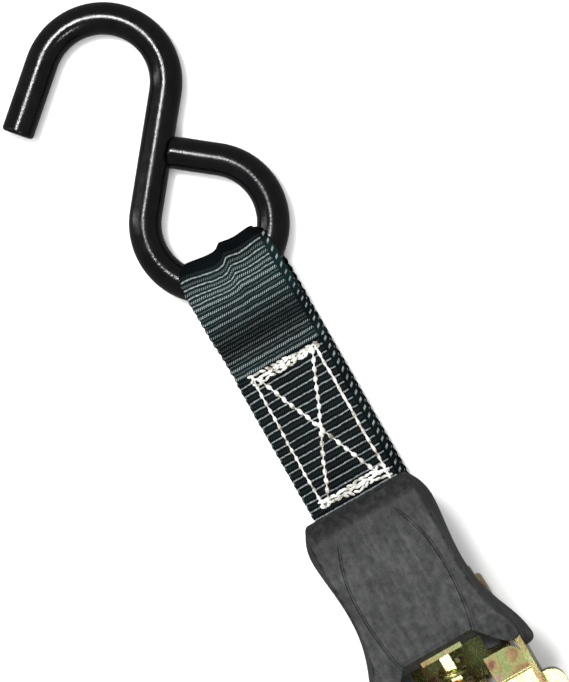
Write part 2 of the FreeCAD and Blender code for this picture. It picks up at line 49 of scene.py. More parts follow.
# ---- places shared with the frame, in millimetres ----
drum_x, drum_z = 20.0, 17.0
pin_x, pin_z, pin_r = -30.0, 8.0, 3.3
eye_x = -137.95
neck_x = -104.1
box_head, box_foot = -100.4, -66.3
box_y0, box_y1 = -8.5, 8.3
layer = 1.4                      # thickness of one layer of webbing
half_web = 12.5
fold_x = eye_x + 10.55
fold_r = 4.8
fold_z = 5.5
drive_dir, stop_dir = 168.0, 198.0    # degrees round the drum at which each pawl slides


# ------------------------------------------------------------------ node helpers
def socket(group, name, way, kind="NodeSocketFloat", value=None):
    made = group.interface.new_socket(name, in_out=way, socket_type=kind)
    if value is not None:
        made.default_value = value
    return made


def link(tree, a, b):
    tree.links.new(a, b)


def maths(tree, op, a, b=None, c=None, clamp=False):
    node = tree.nodes.new("ShaderNodeMath")
    node.operation = op
    node.use_clamp = clamp
    for slot, value in enumerate((a, b, c)):
        if value is None:
            continue
        if isinstance(value, (int, float)):
            node.inputs[slot].default_value = value
        else:
            link(tree, value, node.inputs[slot])
    return node.outputs[0]


def ramp(tree, fac, stops, mode="LINEAR"):
    node = tree.nodes.new("ShaderNodeValToRGB")
    node.color_ramp.interpolation = mode
    while len(node.color_ramp.elements) < len(stops):
        node.color_ramp.elements.new(0.5)
    for element, (at, colour) in zip(node.color_ramp.elements, stops):
        element.position = at
        element.color = (*colour, 1)
    link(tree, fac, node.inputs[0])
    return node.outputs[0]


def grey(a):
    return (a, a, a)


def grey_ramp(tree, fac, *stops):
    return ramp(tree, fac, [(at, grey(level)) for at, level in stops])


def noise(tree, vector, scale, detail=4.0, rough=0.55, distortion=0.0):
    node = tree.nodes.new("ShaderNodeTexNoise")
    node.inputs["Scale"].default_value = scale
    node.inputs["Detail"].default_value = detail
    node.inputs["Roughness"].default_value = rough
    node.inputs["Distortion"].default_value = distortion
    if vector is not None:
        link(tree, vector, node.inputs["Vector"])
    return node.outputs["Fac"]


def mix(tree, fac, a, b, mode="MIX"):
    node = tree.nodes.new("ShaderNodeMix")
    node.data_type = "RGBA"
    node.blend_type = mode
    for name, value in (("Factor", fac), ("A", a), ("B", b)):
        sock = [s for s in node.inputs if s.name == name and s.enabled][0]
        if isinstance(value, (int, float)):
            sock.default_value = value
        elif isinstance(value, tuple):
            sock.default_value = (*value, 1)
        else:
            link(tree, value, sock)
    return [s for s in node.outputs if s.enabled][0]


def object_place(tree):
    return tree.nodes.new("ShaderNodeTexCoord").outputs["Object"]


def bump(tree, height, strength, distance, normal=None):
    node = tree.nodes.new("ShaderNodeBump")
    node.inputs["Strength"].default_value = strength
    node.inputs["Distance"].default_value = distance
    link(tree, height, node.inputs["Height"])
    if normal is not None:
        link(tree, normal, node.inputs["Normal"])
    return node.outputs["Normal"]


def material(name, **fixed):
    mat = bpy.data.materials.new(name)
    mat.use_nodes = True
    shader = mat.node_tree.nodes["Principled BSDF"]
    for key, value in fixed.items():
        sock = shader.inputs[key.replace("_", " ").title().replace("Ior", "IOR")]
        sock.default_value = (*value, 1) if isinstance(value, tuple) else value
    return mat, mat.node_tree, shader


# ------------------------------------------------------------------ shared effects
def speckle_group():
    # uneven tone and fine grain over a moulded or dipped surface
    group = bpy.data.node_groups.new("speckle", "ShaderNodeTree")
    socket(group, "Place", "INPUT", "NodeSocketVector")
    socket(group, "Patch Scale", "INPUT", value=180.0)
    socket(group, "Grain Scale", "INPUT", value=2500.0)
    socket(group, "Patch", "OUTPUT")
    socket(group, "Grain", "OUTPUT")
    start = group.nodes.new("NodeGroupInput")
    end = group.nodes.new("NodeGroupOutput")
    for out, scale, detail in (("Patch", "Patch Scale", 5.0), ("Grain", "Grain Scale", 3.0)):
        tex = group.nodes.new("ShaderNodeTexNoise")
        tex.inputs["Detail"].default_value = detail
        tex.inputs["Roughness"].default_value = 0.6
        link(group, start.outputs["Place"], tex.inputs["Vector"])
        link(group, start.outputs[scale], tex.inputs["Scale"])
        link(group, tex.outputs["Fac"], end.inputs[out])
    return group


def plating_group():
    # yellow zinc plating: drifting gold, green and pink, with fine rolling scratches
    group = bpy.data.node_groups.new("zinc_plating", "ShaderNodeTree")
    socket(group, "Place", "INPUT", "NodeSocketVector")
    socket(group, "Cloud Scale", "INPUT", value=120.0)
    socket(group, "Brightness", "INPUT", value=1.0)
    socket(group, "Colour", "OUTPUT", "NodeSocketColor")
    socket(group, "Roughness", "OUTPUT")
    socket(group, "Height", "OUTPUT")
    start = group.nodes.new("NodeGroupInput")
    end = group.nodes.new("NodeGroupOutput")
    cloud = group.nodes.new("ShaderNodeTexNoise")
    cloud.inputs["Detail"].default_value = 3.0
    cloud.inputs["Distortion"].default_value = 1.2
    link(group, start.outputs["Place"], cloud.inputs["Vector"])
    link(group, start.outputs["Cloud Scale"], cloud.inputs["Scale"])
    tint = ramp(group, cloud.outputs["Fac"], [
        (0.30, (0.50, 0.24, 0.18)), (0.40, (0.72, 0.50, 0.24)), (0.49, (0.74, 0.72, 0.30)),
        (0.57, (0.54, 0.70, 0.28)), (0.65, (0.82, 0.68, 0.36)), (0.74, (0.86, 0.50, 0.46))])
    shade = group.nodes.new("ShaderNodeHueSaturation")
    link(group, tint, shade.inputs["Color"])
    link(group, start.outputs["Brightness"], shade.inputs["Value"])
    link(group, shade.outputs["Color"], end.inputs["Colour"])
    stretch = group.nodes.new("ShaderNodeMapping")
    stretch.inputs["Scale"].default_value = (1.0, 6.0, 6.0)
    link(group, start.outputs["Place"], stretch.inputs["Vector"])
    scratch = noise(group, stretch.outputs["Vector"], 900.0, 4.0, 0.7)
    rough = maths(group, "MULTIPLY_ADD", scratch, 0.28, 0.12)
    link(group, rough, end.inputs["Roughness"])
    link(group, scratch, end.inputs["Height"])
    return group


speckle = speckle_group()
plating = plating_group()


def place_group(tree, group, **values):
    node = tree.nodes.new("ShaderNodeGroup")
    node.node_tree = group
    for key, value in values.items():
        node.inputs[key.replace("_", " ")].default_value = value
    link(tree, object_place(tree), node.inputs["Place"])
    return node


# ------------------------------------------------------------------ finishes
def dipped_vinyl():
    mat, tree, shader = material("dipped_vinyl", roughness=0.16, ior=1.45)
    mark = place_group(tree, speckle, Patch_Scale=260.0, Grain_Scale=1500.0)
    tone = ramp(tree, mark.outputs["Patch"], [(0.35, grey(0.0008)), (0.7, (0.0026, 0.0026, 0.0034))])
    link(tree, tone, shader.inputs["Base Color"])
    gloss = maths(tree, "MULTIPLY_ADD", mark.outputs["Patch"], 0.24, 0.06)
    link(tree, gloss, shader.inputs["Roughness"])
    link(tree, bump(tree, mark.outputs["Grain"], 0.18, 0.0002), shader.inputs["Normal"])
    return mat


grip_front = 0.0595              # metres from the origin back to where the grip's front rounds off
front_shade_fade = 130.0                # per metre, how fast the painted shade on the rounded front fades out behind it


def grip_rubber():
    mat, tree, shader = material("grip_rubber", roughness=0.5, ior=1.38)
    mark = place_group(tree, speckle, Patch_Scale=520.0, Grain_Scale=2300.0)
    place = object_place(tree)
    drag = tree.nodes.new("ShaderNodeMapping")
    drag.inputs["Scale"].default_value = (0.25, 1.0, 1.0)
    link(tree, place, drag.inputs["Vector"])
    broad = noise(tree, drag.outputs["Vector"], 620.0, 6.0, 0.7)
    dust_and_front_shade = maths(tree, "MULTIPLY_ADD", mark.outputs["Patch"], 0.5, maths(tree, "MULTIPLY", broad, 0.5))
    # pale dust mottles the rubber; the rounded front, which faces away from the light, gets painted shade:
    # its dust value is scaled down to 0.8, rising to full over about 8 mm behind grip_front
    split = tree.nodes.new("ShaderNodeSeparateXYZ")
    link(tree, place, split.inputs[0])
    behind_front = maths(tree, "ADD", split.outputs["X"], grip_front)
    out_of_front_shade = maths(tree, "MULTIPLY", behind_front, front_shade_fade, clamp=True)
    dust_and_front_shade = maths(tree, "MULTIPLY", dust_and_front_shade, maths(tree, "MULTIPLY_ADD", out_of_front_shade, 0.2, 0.8))
    tone = ramp(tree, dust_and_front_shade, [(0.36, grey(0.010)), (0.46, (0.021, 0.0215, 0.022)),
                             (0.55, (0.036, 0.0365, 0.037)), (0.66, (0.058, 0.059, 0.059))])
    link(tree, tone, shader.inputs["Base Color"])
    gloss = maths(tree, "MULTIPLY_ADD", mark.outputs["Patch"], 0.3, 0.36)
    link(tree, gloss, shader.inputs["Roughness"])
    normal = bump(tree, mark.outputs["Grain"], 0.35, 0.0003)
    link(tree, bump(tree, mark.outputs["Patch"], 0.3, 0.0006, normal), shader.inputs["Normal"])
    return mat


def zinc(name, cloud, brightness):
    mat, tree, shader = material(name, metallic=1.0, roughness=0.25)
    plate = place_group(tree, plating, Cloud_Scale=cloud, Brightness=brightness)
    link(tree, plate.outputs["Colour"], shader.inputs["Base Color"])
    link(tree, plate.outputs["Roughness"], shader.inputs["Roughness"])
    link(tree, bump(tree, plate.outputs["Height"], 0.08, 0.0002), shader.inputs["Normal"])
    return mat


def bare_steel():
    mat, tree, shader = material("bare_steel", metallic=1.0, roughness=0.35)
    mark = place_group(tree, speckle, Patch_Scale=300.0, Grain_Scale=1500.0)
    tone = ramp(tree, mark.outputs["Patch"], [(0.3, grey(0.35)), (0.7, grey(0.5))])
    link(tree, tone, shader.inputs["Base Color"])
    link(tree, maths(tree, "MULTIPLY_ADD", mark.outputs["Grain"], 0.3, 0.2), shader.inputs["Roughness"])
    return mat


rib_pitch = 2.1                  # millimetres from rib to rib along the webbing
warp_pitch = 0.52                # and from yarn to yarn across it
fold_along = 150.0               # the fold's place along the webbing in the UV map
fold_zone = 40.0                 # length past the fold over which its look changes
uv_unit = 100.0                  # millimetres to one unit of the UV map


def band(tree, value, centre, half, sharp):
    # 1 within half of the centre, falling to 0 outside it
    off = maths(tree, "ABSOLUTE", maths(tree, "SUBTRACT", value, centre))
    return maths(tree, "MULTIPLY", maths(tree, "SUBTRACT", half, off), sharp, clamp=True)


def spaced(tree, value, pitch):
    return maths(tree, "FRACT", maths(tree, "DIVIDE", value, pitch))


def product(tree, *values):
    out = values[0]
    for value in values[1:]:
        out = maths(tree, "MULTIPLY", out, value)
    return out


def webbing():
    # the UV map holds the place along and across the webbing, in uv_unit; the fold is at fold_along
    mat, tree, shader = material("woven_webbing", roughness=0.7, ior=1.3, specular_ior_level=0.12)
    uv = tree.nodes.new("ShaderNodeUVMap")
    uv.uv_map = "cloth"
    split = tree.nodes.new("ShaderNodeSeparateXYZ")
    link(tree, uv.outputs["UV"], split.inputs[0])
    along = maths(tree, "MULTIPLY", split.outputs["X"], uv_unit)
    across = maths(tree, "MULTIPLY", split.outputs["Y"], uv_unit)
    side = maths(tree, "ABSOLUTE", across)
    waver = maths(tree, "SUBTRACT", noise(tree, uv.outputs["UV"], 45.0, 2.0), 0.5)
    rib = spaced(tree, maths(tree, "MULTIPLY_ADD", waver, 0.5, along), rib_pitch)
    fray = noise(tree, uv.outputs["UV"], 160.0, 2.0)
    uneven = maths(tree, "MULTIPLY", maths(tree, "SUBTRACT", fray, 0.2), 1.9, clamp=True)
    inner = band(tree, across, -1.7, 11.9, 4.0)

    # how far past the fold at the hook, as 0 to 1 over fold_zone; all that comes before the fold is below 0
    past = maths(tree, "DIVIDE", maths(tree, "SUBTRACT", along, fold_along), fold_zone)
    elsewhere = maths(tree, "LESS_THAN", past, 0.0)
    # painted highlights: how bright the lines and dots are, zone by zone along the loop past the fold where
    # its curve catches the light; the first few millimetres past the fold stay dark
    loop_line_highlight = grey_ramp(tree, past, (0.0, 0.0), (0.12, 0.0), (0.16, 1.0), (0.30, 1.0),
                           (0.38, 0.16), (0.55, 0.10), (0.74, 0.14), (0.86, 0.2))
    loop_dot_highlight = grey_ramp(tree, past, (0.0, 0.0), (0.13, 0.0), (0.2, 0.25), (0.32, 0.6),
                          (0.42, 1.0), (0.54, 0.42), (0.66, 0.08), (0.84, 0.6))
    line_highlight_level = maths(tree, "MULTIPLY_ADD", elsewhere, 0.9, loop_line_highlight)
    dot_highlight_level = maths(tree, "MULTIPLY_ADD", elsewhere, 0.03, loop_dot_highlight)

    # painted highlights: a pale line along the weft in each groove and a row of pale dots on the slanted
    # warp yarns of each rib, standing for light caught by the threads; the same masks shape the bump
    line = product(tree, band(tree, rib, 0.5, 0.11, 14.0), inner, uneven, line_highlight_level)
    lean = maths(tree, "MULTIPLY_ADD", rib, 0.35, across)
    yarn = band(tree, spaced(tree, lean, warp_pitch), 0.5, 0.27, 6.0)
    dots = product(tree, yarn, band(tree, rib, 0.02, 0.2, 8.0), inner, dot_highlight_level)
    far_dots = product(tree, yarn, band(tree, rib, 1.02, 0.2, 8.0), inner, dot_highlight_level)
    dots = maths(tree, "ADD", dots, far_dots)
    # painted highlight: where the weft turns round one edge it shows as a bright slanted dash per rib, with
    # beads of light along both edges
    turn = spaced(tree, maths(tree, "MULTIPLY_ADD", across, 0.8, along), rib_pitch)
    dash = product(tree, band(tree, turn, 0.5, 0.2, 9.0), band(tree, across, 11.3, 0.5, 5.0), uneven)
    edge = band(tree, side, 12.25, 0.25, 5.0)
    bead = product(tree, band(tree, turn, 0.15, 0.14, 9.0), edge, uneven, 0.6)

    patch = noise(tree, uv.outputs["UV"], 14.0, 3.0)
    dark = ramp(tree, patch, [(0.3, (0.0012, 0.0016, 0.0022)), (0.7, (0.0022, 0.0044, 0.0052))])
    # painted sheen: a teal tint laid over the dark webbing only in the zones past the fold where the
    # painted highlights fall
    teal_sheen = ramp(tree, patch, [(0.3, (0.0025, 0.0075, 0.0082)), (0.7, (0.0055, 0.017, 0.018))])
    sheen_zone = grey_ramp(tree, past, (0.13, 0.0), (0.22, 0.7), (0.42, 1.0),
                       (0.60, 0.1), (0.74, 0.0), (0.86, 0.6))
    fine = noise(tree, uv.outputs["UV"], 900.0, 2.0)
    # the pale colour of all the painted highlights
    highlight_tone = ramp(tree, fine, [(0.3, (0.15, 0.18, 0.18)), (0.7, (0.52, 0.58, 0.57))])
    shade = mix(tree, sheen_zone, dark, teal_sheen)
    shade = mix(tree, line, shade, highlight_tone)
    shade = mix(tree, maths(tree, "MULTIPLY", dots, 1.5, clamp=True), shade, highlight_tone)
    edge_highlight = maths(tree, "MULTIPLY", maths(tree, "ADD", dash, bead), 0.9, clamp=True)
    shade = mix(tree, edge_highlight, shade, highlight_tone)
    link(tree, shade, shader.inputs["Base Color"])
    weave = maths(tree, "MULTIPLY_ADD", yarn, 0.45, maths(tree, "MULTIPLY", dash, 0.8))
    height = maths(tree, "MULTIPLY_ADD", line, -0.5, weave)
    link(tree, bump(tree, height, 0.4, 0.0003), shader.inputs["Normal"])
    link(tree, maths(tree, "MULTIPLY_ADD", fray, 0.3, 0.5), shader.inputs["Roughness"])
    return mat


def sewing_thread():
    mat, tree, shader = material("sewing_thread", roughness=0.6)
    place = object_place(tree)
    tone = ramp(tree, noise(tree, place, 500.0, 3.0), [
        (0.32, (0.16, 0.15, 0.11)), (0.46, (0.52, 0.51, 0.46)), (0.58, (0.80, 0.80, 0.77))])
    link(tree, tone, shader.inputs["Base Color"])
    link(tree, bump(tree, noise(tree, place, 5200.0, 2.0), 0.5, 0.0002), shader.inputs["Normal"])
    rough = maths(tree, "MULTIPLY_ADD", noise(tree, place, 900.0), 0.3, 0.45)
    link(tree, rough, shader.inputs["Roughness"])
    return mat


def paper_floor():
    mat, tree, shader = material("pale_floor", roughness=0.9)
    tone = ramp(tree, noise(tree, object_place(tree), 3.0), [(0.3, grey(0.90)), (0.7, grey(0.92))])
    link(tree, tone, shader.inputs["Base Color"])
    return mat


mat_vinyl = dipped_vinyl()
mat_rubber = grip_rubber()
# painted shade: the base's zinc is the same plating at about a third of the brightness, standing for the
# shade deep inside the ratchet
mat_shaded_base = zinc("zinc_shaded_base", 110.0, 0.34)
mat_frame = zinc("zinc_frame", 150.0, 0.95)
mat_bright = zinc("zinc_bright", 190.0, 0.95)
mat_spring = zinc("zinc_spring", 260.0, 1.05)
mat_steel = bare_steel()
mat_web = webbing()
mat_thread = sewing_thread()


# ------------------------------------------------------------------ mesh helpers
def new_object(name, verts, faces, mat, smooth=True):
    mesh = bpy.data.meshes.new(name)
    mesh.from_pydata([(x * MM, y * MM, z * MM) for x, y, z in verts], [], faces)
    mesh.materials.append(mat)
    mesh.polygons.foreach_set("use_smooth", [smooth] * len(mesh.polygons))
    obj = bpy.data.objects.new(name, mesh)
    bpy.context.scene.collection.objects.link(obj)
    return obj


def face_outwards(obj):
    bm = bmesh.new()
    bm.from_mesh(obj.data)
    bmesh.ops.recalc_face_normals(bm, faces=bm.faces)
    bm.to_mesh(obj.data)
    bm.free()


def baked(obj):
    # the evaluated object as one plain mesh, without its modifiers
    bpy.context.view_layer.update()
    graph = bpy.context.evaluated_depsgraph_get()
    mesh = bpy.data.meshes.new_from_object(obj.evaluated_get(graph))
    plain = bpy.data.objects.new(obj.name + "_mesh", mesh)
    bpy.context.scene.collection.objects.link(plain)
    name = obj.name
    bpy.data.objects.remove(obj)
    plain.name = name
    return plain


# ------------------------------------------------------------------ webbing
def arc(cx, cz, r, a0, a1, count):
    out = []
    for k in range(count + 1):
        a = math.radians(a0 + (a1 - a0) * k / count)
        out.append((cx + r * math.cos(a), cz + r * math.sin(a)))
    return out


part_x = -60.0                   # where the layers part on their way to the pin
inner_end_x = -64.4              # the cut end between the layers
outer_flap = 1.2                 # how far the cut end on top runs past the stitching
crest_end_x = eye_x + 17.2       # where the loop's flat top ends
neck_start = 3.2                 # how far before the neck's middle the layers meet
top_z, middle_z, bottom_z = 2.5 * layer, 1.5 * layer, 0.5 * layer
arc_steps = 24


def lean_to_pin(z, r, side):
    # degrees by which a layer leaving part_x at height z leans to touch the pin, above or below it
    run, rise = pin_x - part_x, pin_z - z
    return math.degrees(math.atan2(rise, run) + side * math.asin(r / math.hypot(run, rise)))


def web_route():
    # middle line of the webbing in the X-Z plane, from the cut end on top to the cut end inside
    r = pin_r + layer / 2
    up, low = lean_to_pin(top_z, r, 1), lean_to_pin(bottom_z, r, -1)
    points = [(box_head - outer_flap, top_z), (part_x, top_z)]
    points += arc(pin_x, pin_z, r, 90 + up, -90 + low, arc_steps)
    points += [(part_x, bottom_z), (fold_x, bottom_z)]
    points += arc(fold_x, fold_z, fold_r, 270, 90, arc_steps)
    points += [(crest_end_x, fold_z + fold_r), (neck_x - neck_start, middle_z), (inner_end_x, middle_z)]
    return points


def resample(points, step):
    out = [points[0]]
    left = step
    for a, b in zip(points, points[1:]):
        span = math.dist(a, b)
        at = left
        while at <= span:
            f = at / span
            out.append((a[0] + (b[0] - a[0]) * f, a[1] + (b[1] - a[1]) * f))
            at += step
        left = at - span
    return out


def soften(points, passes):
    for _ in range(passes):
        inner = []
        for a, b, c in zip(points, points[1:], points[2:]):
            inner.append(((a[0] + 2 * b[0] + c[0]) / 4, (a[1] + 2 * b[1] + c[1]) / 4))
        points = [points[0]] + inner + [points[-1]]
    return points


def near(value, centre, width):
    return math.exp(-((value - centre) / width) ** 2)


def fold_pull(y, d):
    # the fold hangs back unevenly on the hook, with a short step near its middle
    if d < -3:
        return 0.0
    left = 1.6 / (1 + math.exp((y + 0.1) / 0.32)) * near(y, -2.2, 5.4)
    right = 0.55 * near(y, 4.4, 3.4)
    return (left + right) * near(d, 5.0, 9.5)


def build_webbing():
    step = 0.25                  # millimetres from row to row
    columns = 24                 # points across each face of the webbing
    rib_height = 0.085
    thick = layer / 2 - 0.09
    drift_step, drift_count = 4, 80
    edge_power = 14              # how square the webbing's edge is
    route = soften(resample(web_route(), step), 24)
    count = len(route)
    fold_at = min(range(count), key=lambda k: route[k][0])
    rng = random.Random(7)
    drift = [rng.uniform(-1, 1) for _ in range(drift_count)]
    verts, faces, uvs = [], [], []
    for k, (x, z) in enumerate(route):
        a = route[max(0, k - 2)]
        b = route[min(count - 1, k + 2)]
        length = math.dist(a, b)
        nx, nz = (a[1] - b[1]) / length, (b[0] - a[0]) / length
        d = (k - fold_at) * step
        s = fold_along + d
        wave = math.cos(2 * math.pi * (s / rib_pitch - 1.0))
        half = half_web - 3.3 * near(d, 0, 4.6) - 0.25 * near(d, 11, 7)
        half += 0.13 * wave + 0.07 * drift[int(k * step / drift_step) % drift_count]
        for side in (1, -1):
            for c in range(columns):
                f = -side * math.cos(math.pi * (c + 0.5) / columns)
                y = half * f
                round_edge = math.sqrt(max(0.0, 1 - abs(f) ** edge_power))
                lift = side * (thick + rib_height * wave) * (0.35 + 0.65 * round_edge)
                if d > 0:
                    # slack webbing at the hook folds into one ridge that fades towards the stitching
                    lift += 0.55 * near(y, 0.4 + 0.05 * d, 1.5) * near(d, 7.0, 8.0)
                verts.append((x + nx * lift + fold_pull(y, d), y, z + nz * lift))
                uvs.append((s / uv_unit, y / uv_unit))
    ring = 2 * columns
    for k in range(count - 1):
        for c in range(ring):
            c2 = (c + 1) % ring
            faces.append((k * ring + c, k * ring + c2, (k + 1) * ring + c2, (k + 1) * ring + c))
    for base in (0, (count - 1) * ring):
        for c in range(columns - 1):
            faces.append((base + c, base + c + 1, base + ring - 2 - c, base + ring - 1 - c))
    obj = new_object("webbing", verts, faces, mat_web)
    layer_uv = obj.data.uv_layers.new(name="cloth")
    for loop in obj.data.loops:
        layer_uv.data[loop.index].uv = uvs[loop.vertex_index]
    face_outwards(obj)
    return obj


web = build_webbing()
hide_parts("short_strap_sewn", "short_strap_hook_loop")
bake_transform(web)


# ------------------------------------------------------------------ stitching
def stitch_tree(mat):
    tree = bpy.data.node_groups.new("stitch_run", "GeometryNodeTree")
    socket(tree, "Geometry", "INPUT", "NodeSocketGeometry")
    socket(tree, "Spacing", "INPUT", value=0.002)
    socket(tree, "Stitch Length", "INPUT", value=0.0017)
    socket(tree, "Thread Width", "INPUT", value=0.0007)
    socket(tree, "Turn", "INPUT", value=0.2)
    socket(tree, "Geometry", "OUTPUT", "NodeSocketGeometry")
    start = tree.nodes.new("NodeGroupInput")
    end = tree.nodes.new("NodeGroupOutput")
    curve = tree.nodes.new("GeometryNodeMeshToCurve")
    again = tree.nodes.new("GeometryNodeResampleCurve")
    again.mode = "LENGTH"
    points = tree.nodes.new("GeometryNodeCurveToPoints")
    points.mode = "EVALUATED"
    bead = tree.nodes.new("GeometryNodeMeshUVSphere")
    bead.inputs["Segments"].default_value = 10       # each stitch is a bead stretched to a stitch's size
    bead.inputs["Rings"].default_value = 7
    bead.inputs["Radius"].default_value = 0.5
    sized = tree.nodes.new("GeometryNodeTransform")
    size = tree.nodes.new("ShaderNodeCombineXYZ")
    flat = maths(tree, "MULTIPLY", start.outputs["Thread Width"], 0.8)
    link(tree, start.outputs["Thread Width"], size.inputs[0])
    link(tree, flat, size.inputs[1])
    link(tree, start.outputs["Stitch Length"], size.inputs[2])
    spin = tree.nodes.new("FunctionNodeRandomValue")
    spin.data_type = "FLOAT"
    spin.inputs["Seed"].default_value = 11
    low = maths(tree, "MULTIPLY", start.outputs["Turn"], -1.0)
    link(tree, low, spin.inputs[2])
    link(tree, start.outputs["Turn"], spin.inputs[3])
    turn = tree.nodes.new("ShaderNodeCombineXYZ")
    link(tree, spin.outputs[1], turn.inputs[1])
    place = tree.nodes.new("GeometryNodeInstanceOnPoints")
    rotate = tree.nodes.new("GeometryNodeRotateInstances")
    real = tree.nodes.new("GeometryNodeRealizeInstances")
    paint = tree.nodes.new("GeometryNodeSetMaterial")
    paint.inputs["Material"].default_value = mat
    link(tree, start.outputs["Geometry"], curve.inputs[0])
    link(tree, curve.outputs[0], again.inputs["Curve"])
    link(tree, start.outputs["Spacing"], again.inputs["Length"])
    link(tree, again.outputs[0], points.inputs["Curve"])
    link(tree, bead.outputs["Mesh"], sized.inputs["Geometry"])
    link(tree, size.outputs[0], sized.inputs["Scale"])
    link(tree, points.outputs["Points"], place.inputs["Points"])
    link(tree, sized.outputs[0], place.inputs["Instance"])
    link(tree, points.outputs["Rotation"], place.inputs["Rotation"])
    link(tree, place.outputs[0], rotate.inputs["Instances"])
    link(tree, turn.outputs[0], rotate.inputs["Rotation"])
    link(tree, rotate.outputs[0], real.inputs[0])
    link(tree, real.outputs[0], paint.inputs["Geometry"])
    link(tree, paint.outputs[0], end.inputs["Geometry"])
    return tree


def set_input(modifier, name, value):
    for item in modifier.node_group.interface.items_tree:
        if item.item_type == "SOCKET" and item.in_out == "INPUT" and item.name == name:
            modifier[item.identifier] = value


def run_object(name, runs, z):
    verts, edges = [], []
    for run in runs:
        first = len(verts)
        verts += [(x * MM, y * MM, z * MM) for x, y in run]
        edges += [(first + k, first + k + 1) for k in range(len(run) - 1)]
    mesh = bpy.data.meshes.new(name)
    mesh.from_pydata(verts, edges, [])
    obj = bpy.data.objects.new(name, mesh)
    bpy.context.scene.collection.objects.link(obj)
    return obj


def sew(name, runs, z, tree, **values):
    obj = run_object(name, runs, z)
    modifier = obj.modifiers.new("sew", "NODES")
    modifier.node_group = tree
    for key, value in values.items():
        set_input(modifier, key.replace("_", " "), value)
    return baked(obj)


def wobble(x0, y0, x1, y1, seed, amount=0.12, parts=8):
    rng = random.Random(seed)
    out = []
    for k in range(parts + 1):
        f = k / parts
        out.append((x0 + (x1 - x0) * f + rng.uniform(-amount, amount),
                    y0 + (y1 - y0) * f + rng.uniform(-amount, amount)))
    return out


def stitch_sizes(spacing, length, width, turn):
    return {"Spacing": spacing * MM, "Stitch_Length": length * MM, "Thread_Width": width * MM, "Turn": turn}


def end_rows(base_x, way, seed):
    rows = []
    for k in range(4):
        # neighbouring rows slope opposite ways, 0.62 mm apart
        slope = 0.7 * (k % 2) - 0.35
        x = base_x + way * (0.62 * k - 0.7)
        rows.append(wobble(x + slope, box_y0 - 0.1, x - slope, box_y1 + 0.1, seed + k, 0.3, 9))
    return rows


def build_stitching():
    tree = stitch_tree(mat_thread)
    z = 3 * layer + 0.02
    x0, x1, y0, y1 = box_head, box_foot, box_y0, box_y1
    left = [wobble(x0, y0, x1, y0 - 0.4, 1)]
    right = [wobble(x0, y1, x1 + 1.0, y1, 2)]
    cross = [wobble(x0 + 1.2, y0 + 1.5, x1 - 0.5, y1 - 2.0, 3),
             wobble(x0 + 1.0, y1 - 1.0, x1 - 0.8, y0 + 1.4, 4)]
    rows = end_rows(x0, 1, 10) + end_rows(x1, -1, 30)
    plan = [
        ("left_beads", left, z, stitch_sizes(2.1, 1.5, 0.85, 0.15)),
        ("left_thread", left, z, stitch_sizes(0.7, 1.3, 0.36, 0.03)),
        ("right_beads", right, z, stitch_sizes(2.3, 2.3, 0.8, 0.05)),
        ("right_thread", right, z, stitch_sizes(0.6, 1.3, 0.5, 0.03)),
        ("cross_beads", cross, z + 0.05, stitch_sizes(2.2, 1.7, 1.1, 0.4)),
        ("cross_thread", cross, z, stitch_sizes(0.8, 1.2, 0.34, 0.05)),
        ("rows", rows, z + 0.05, stitch_sizes(1.45, 1.75, 0.75, 0.6)),
    ]
    return [sew("stitch_" + name, runs, at, tree, **sizes) for name, runs, at, sizes in plan]


stitches = build_stitching()
bpy.ops.object.select_all(action="DESELECT")
for piece in stitches:
    piece.select_set(True)
bpy.context.view_layer.objects.active = stitches[0]
bpy.ops.object.join()
thread = bpy.context.view_layer.objects.active
thread.name = "stitching"
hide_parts("box_stitch")
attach(thread, "strap")


# ------------------------------------------------------------------ springs
def spring_tree():
    tree = bpy.data.node_groups.new("coil_spring", "GeometryNodeTree")
    socket(tree, "Geometry", "INPUT", "NodeSocketGeometry")
    socket(tree, "Coil Radius", "INPUT", value=0.002)
    socket(tree, "Turns", "INPUT", value=6.0)
    socket(tree, "Length", "INPUT", value=0.015)
    socket(tree, "Wire Radius", "INPUT", value=0.0004)
    socket(tree, "Geometry", "OUTPUT", "NodeSocketGeometry")
    start = tree.nodes.new("NodeGroupInput")
    end = tree.nodes.new("NodeGroupOutput")
    coil = tree.nodes.new("GeometryNodeCurveSpiral")
    coil.inputs["Resolution"].default_value = 28
    link(tree, start.outputs["Turns"], coil.inputs["Rotations"])
    link(tree, start.outputs["Coil Radius"], coil.inputs["Start Radius"])
    link(tree, start.outputs["Coil Radius"], coil.inputs["End Radius"])
    link(tree, start.outputs["Length"], coil.inputs["Height"])
    ring = tree.nodes.new("GeometryNodeCurvePrimitiveCircle")
    ring.inputs["Resolution"].default_value = 12
    link(tree, start.outputs["Wire Radius"], ring.inputs["Radius"])
    sweep = tree.nodes.new("GeometryNodeCurveToMesh")
    sweep.inputs["Fill Caps"].default_value = True
    smooth = tree.nodes.new("GeometryNodeSetShadeSmooth")
    paint = tree.nodes.new("GeometryNodeSetMaterial")
    paint.inputs["Material"].default_value = mat_spring
    real = tree.nodes.new("GeometryNodeRealizeInstances")
    link(tree, coil.outputs[0], sweep.inputs["Curve"])
    link(tree, ring.outputs["Curve"], sweep.inputs["Profile Curve"])
    link(tree, sweep.outputs[0], real.inputs[0])
    link(tree, real.outputs[0], smooth.inputs[0])
    link(tree, smooth.outputs[0], paint.inputs["Geometry"])
    link(tree, paint.outputs[0], end.inputs["Geometry"])
    return tree


def radial(direction, r):
    a = math.radians(direction)
    return Vector(((drum_x + r * math.cos(a)) * MM, 0, (drum_z + r * math.sin(a)) * MM))


